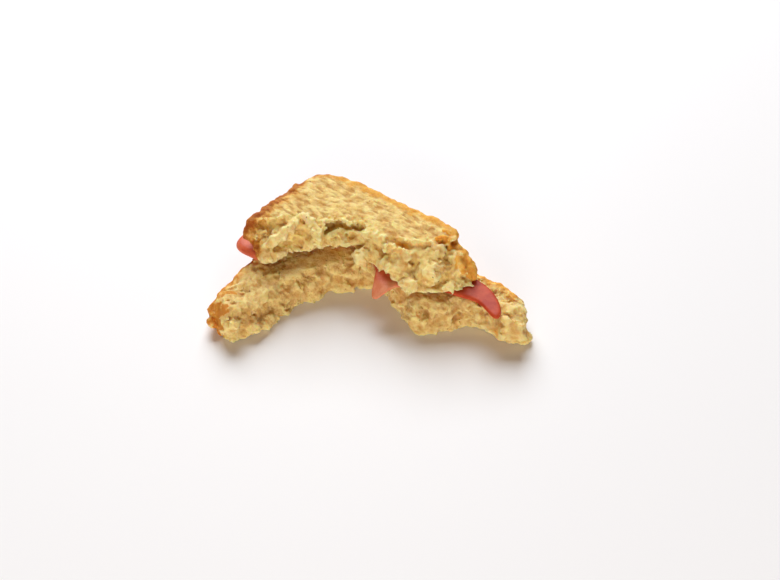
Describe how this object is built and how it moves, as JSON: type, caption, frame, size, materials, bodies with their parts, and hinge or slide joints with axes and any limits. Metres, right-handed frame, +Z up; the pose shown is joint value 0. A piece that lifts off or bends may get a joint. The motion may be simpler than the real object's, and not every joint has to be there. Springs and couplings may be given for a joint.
{
  "type": "half eaten sandwich",
  "caption": "Bitten corner of a sliced-bread sandwich: two thick crusted slices with a folded slice of ham between them, torn crumb along the front.",
  "frame": {"origin": "centre of the object's footprint box, on the surface it lies on", "axes": "+X along the sandwich's longest extent, to the right seen from its bitten front; +Y towards the uneaten corner at the back; +Z up through the slices"},
  "size_m": [0.1184, 0.0688, 0.0292],
  "materials": {
    "bread_bottom": "soft torn bread crumb with a browned crust",
    "bread_top": "cut bread crumb with a browned crust",
    "ham": "moist cooked ham"
  },
  "bodies": {
    "root": {"bottom_slice": "bread_bottom", "top_slice": "bread_top", "ham": "ham"}
  },
  "joints": []
}
